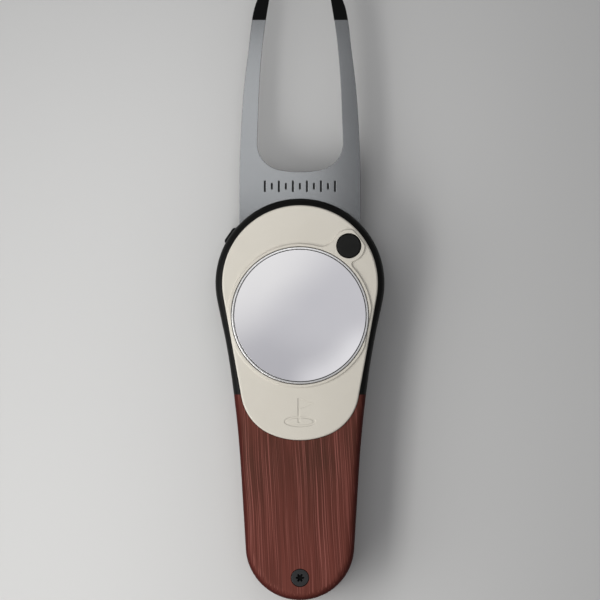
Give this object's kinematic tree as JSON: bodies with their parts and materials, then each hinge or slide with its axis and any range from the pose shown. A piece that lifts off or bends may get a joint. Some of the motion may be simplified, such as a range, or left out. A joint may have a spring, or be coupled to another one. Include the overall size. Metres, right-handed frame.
{
  "type": "divot repair tool",
  "caption": "Folding divot repair tool: slim wood-and-metal handle, swing-out two-pronged fork with spring and release button, and a magnetic disc ball marker in the head.",
  "frame": {"origin": "point on the flat back face where the fork's pivot axis meets it", "axes": "+Z out of the front face (the tool lies on its back), +Y from the handle towards the open prongs, +X to the right seen from the front"},
  "size_m": [0.0308, 0.1124, 0.0128],
  "materials": {
    "black_bolster": "satin black coating",
    "wood_scale": "fine-grained dark red-brown wood, oiled",
    "steel_liner": "brushed",
    "black_spacer": "matte",
    "steel_hardware": "turned",
    "cream_plate": "satin cream coating",
    "magnet": "nickel plated",
    "brass_bearing": "plain",
    "spring_steel": "drawn wire",
    "black_screw": "black oxide",
    "fork_steel": "grey bead-blasted, tips dark",
    "button_plastic": "matte black",
    "marker_metal": "satin edge",
    "marker_face": "satin polished, slightly domed"
  },
  "bodies": {
    "handle": {"back_bolster": "black_bolster", "back_scale": "wood_scale", "back_liner": "steel_liner", "front_liner": "steel_liner", "spine_spacer": "black_spacer", "spine_pins": "steel_hardware", "end_spacer": "black_spacer", "front_bolster": "black_bolster", "front_scale": "wood_scale", "face_plate": "cream_plate", "marker_magnet": "magnet", "pivot_barrel": "steel_hardware", "pivot_screw": "steel_hardware", "back_washer": "brass_bearing", "front_washer": "brass_bearing", "torsion_spring": "spring_steel", "button_spring": "spring_steel", "scale_screws": "black_screw", "front_liner_screws": "black_screw", "back_liner_screws": "black_screw"},
    "swing": {"fork": "fork_steel", "fork_bushing": "brass_bearing", "spring_peg": "steel_hardware"},
    "catch": {"release_button": "button_plastic", "lock_plunger": "steel_hardware"},
    "marker": {"marker_disc": "marker_metal", "marker_insert": "marker_face"}
  },
  "joints": [
    {"name": "fork_swing", "type": "hinge", "parent": "handle", "child": "swing", "pos_m": [0, 0, 0.0063], "axis": [0, 0, 1], "range_deg": [0, 180], "stiffness_Nm_per_rad": 0.01, "springref_deg": -68.75, "deforming": ["torsion_spring"]},
    {"name": "button_travel", "type": "slide", "parent": "handle", "child": "catch", "axis": [0, 0, 1], "range_m": [0, 0.001], "stiffness_N_per_m": 300, "springref_m": 0.002, "deforming": ["button_spring"]},
    {"name": "marker_lift", "type": "slide", "parent": "handle", "child": "marker", "axis": [0, 0, 1], "range_m": [0, 0.012]}
  ]
}
